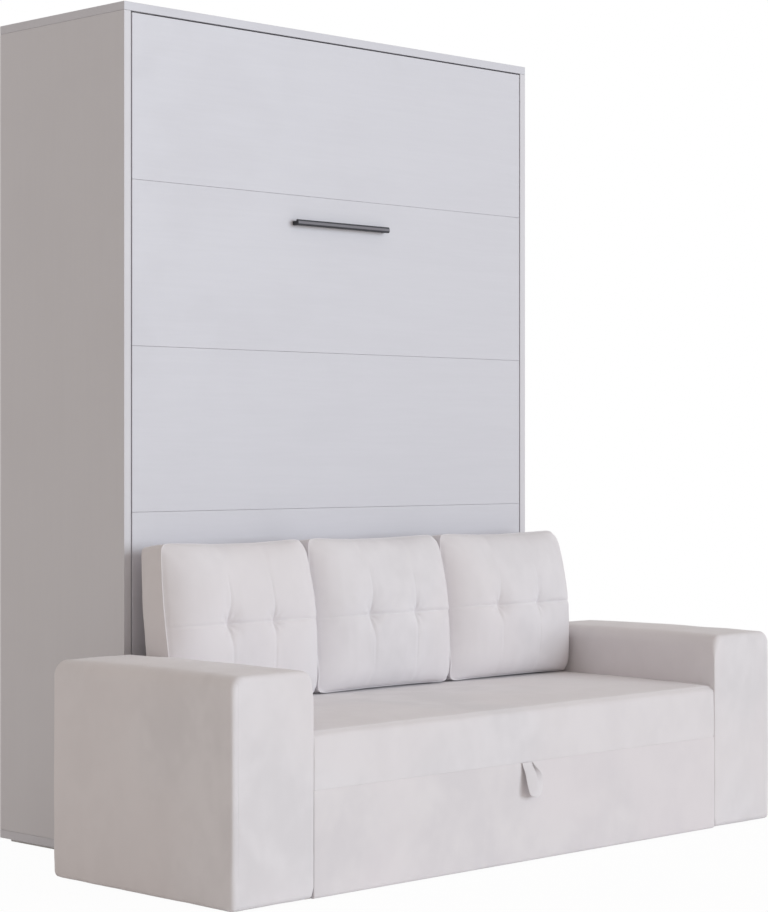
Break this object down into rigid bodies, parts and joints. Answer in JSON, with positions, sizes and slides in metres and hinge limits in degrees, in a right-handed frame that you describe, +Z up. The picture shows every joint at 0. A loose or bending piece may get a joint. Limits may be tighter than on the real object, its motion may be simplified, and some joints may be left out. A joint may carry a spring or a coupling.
{
  "type": "wall bed with sofa",
  "caption": "Vertical wall bed that folds down over a sofa with box armrests, loose tufted back cushions and a storage drawer behind the padded lower front.",
  "frame": {"origin": "on the floor, in the middle of the footprint", "axes": "+Z up, +X to the right as seen from the front, +Y to the wall behind the bed"},
  "size_m": [2.026, 1.263, 2.19],
  "materials": {
    "laminate": "white melamine on chipboard, fine grain",
    "facade": "white melamine on chipboard, satin",
    "back_board": "pale fibreboard",
    "ply": "raw birch plywood",
    "upholstery": "off-white velour with brushed marks",
    "ticking": "white mattress ticking",
    "webbing": "grey elastic webbing",
    "steel": "grey powder coat",
    "handle_metal": "anthracite, satin",
    "chrome": "polished piston rod",
    "gas_black": "black gloss",
    "plastic": "dark grey, moulded"
  },
  "bodies": {
    "cabinet_and_sofa": {"cabinet_side_left": "laminate", "cabinet_side_right": "laminate", "cabinet_top": "laminate", "cabinet_bottom": "laminate", "cabinet_back_lower": "back_board", "cabinet_back_upper": "back_board", "cabinet_glide_left": "plastic", "cabinet_glide_right": "plastic", "stop_rail": "laminate", "wall_bracket_left": "steel", "wall_bracket_right": "steel", "pivot_plate_left": "steel", "pivot_plate_right": "steel", "armrest_left": "upholstery", "armrest_right": "upholstery", "armrest_foot_left": "plastic", "armrest_foot_right": "plastic", "seat_cushion": "upholstery", "seat_board": "ply", "sofa_back_board": "ply", "base_side_left": "ply", "base_side_right": "ply", "drawer_runner_left": "steel", "drawer_runner_right": "steel"},
    "bed": {"facade_panel_1": "facade", "facade_panel_2": "facade", "facade_panel_3": "facade", "facade_panel_4": "facade", "facade_panel_5": "facade", "handle_bar": "handle_metal", "handle_post_left": "handle_metal", "handle_post_right": "handle_metal", "bed_rail_left": "steel", "bed_rail_right": "steel", "bed_rail_head": "steel", "bed_rail_foot": "steel", "bed_centre_beam": "steel", "slat_base": "ply", "mattress": "ticking", "mattress_strap": "webbing", "pivot_arm_left": "steel", "pivot_arm_right": "steel", "leg_bracket_left": "steel", "leg_bracket_right": "steel"},
    "foot_leg": {"foot_leg_left": "steel", "foot_leg_right": "steel", "foot_leg_crossbar": "steel"},
    "gas_cylinder_left": {"gas_cylinder_left": "gas_black"},
    "gas_cylinder_right": {"gas_cylinder_right": "gas_black"},
    "gas_rod_left": {"gas_rod_left": "chrome"},
    "gas_rod_right": {"gas_rod_right": "chrome"},
    "drawer": {"drawer_front": "upholstery", "drawer_side_left": "ply", "drawer_side_right": "ply", "drawer_back": "ply", "drawer_bottom": "ply", "pull_strap": "upholstery"},
    "back_cushion_left": {"back_cushion_left": "upholstery"},
    "back_cushion_middle": {"back_cushion_middle": "upholstery"},
    "back_cushion_right": {"back_cushion_right": "upholstery"}
  },
  "joints": [
    {"name": "bed_fold", "type": "hinge", "parent": "cabinet_and_sofa", "child": "bed", "pos_m": [0, 0.1615, 0.48], "axis": [1, 0, 0], "range_deg": [0, 90]},
    {"name": "foot_leg_fold", "type": "hinge", "parent": "bed", "child": "foot_leg", "pos_m": [0, 0.1915, 2.134], "axis": [1, 0, 0], "range_deg": [0, 241.5]},
    {"name": "drawer_slide", "type": "slide", "parent": "cabinet_and_sofa", "child": "drawer", "axis": [0, -1, 0], "range_m": [0, 0.38]},
    {"name": "gas_cylinder_tilt_left", "type": "hinge", "parent": "cabinet_and_sofa", "child": "gas_cylinder_left", "pos_m": [-0.714, 0.4015, 0.8], "axis": [1, 0, 0], "range_deg": [0, 8.05]},
    {"name": "gas_rod_slide_left", "type": "slide", "parent": "gas_cylinder_left", "child": "gas_rod_left", "axis": [0, 0.4789, 0.8779], "range_m": [0, 0.15944]},
    {"name": "gas_cylinder_tilt_right", "type": "hinge", "parent": "cabinet_and_sofa", "child": "gas_cylinder_right", "pos_m": [0.714, 0.4015, 0.8], "axis": [1, 0, 0], "range_deg": [0, 8.05]},
    {"name": "gas_rod_slide_right", "type": "slide", "parent": "gas_cylinder_right", "child": "gas_rod_right", "axis": [0, 0.4789, 0.8779], "range_m": [0, 0.15944]},
    {"name": "back_cushion_lift_left", "type": "hinge", "parent": "cabinet_and_sofa", "child": "back_cushion_left", "pos_m": [-0.503, -0.41455, -0.16437], "axis": [1, 0, 0], "range_deg": [0, 100]},
    {"name": "back_cushion_lift_middle", "type": "hinge", "parent": "cabinet_and_sofa", "child": "back_cushion_middle", "pos_m": [0, -0.41455, -0.16437], "axis": [1, 0, 0], "range_deg": [0, 100]},
    {"name": "back_cushion_lift_right", "type": "hinge", "parent": "cabinet_and_sofa", "child": "back_cushion_right", "pos_m": [0.503, -0.41455, -0.16437], "axis": [1, 0, 0], "range_deg": [0, 100]}
  ],
  "couplings": [
    {"joint": "foot_leg_fold", "follows": "bed_fold", "ratio": 2.6833},
    {"joint": "gas_cylinder_tilt_left", "follows": "bed_fold", "ratio": 0.089493},
    {"joint": "gas_rod_slide_left", "follows": "bed_fold", "m_per_rad": 0.1015},
    {"joint": "gas_cylinder_tilt_right", "follows": "bed_fold", "ratio": 0.089493},
    {"joint": "gas_rod_slide_right", "follows": "bed_fold", "m_per_rad": 0.1015},
    {"joint": "back_cushion_lift_left", "follows": "bed_fold", "ratio": 1.1111},
    {"joint": "back_cushion_lift_middle", "follows": "bed_fold", "ratio": 1.1111},
    {"joint": "back_cushion_lift_right", "follows": "bed_fold", "ratio": 1.1111}
  ]
}
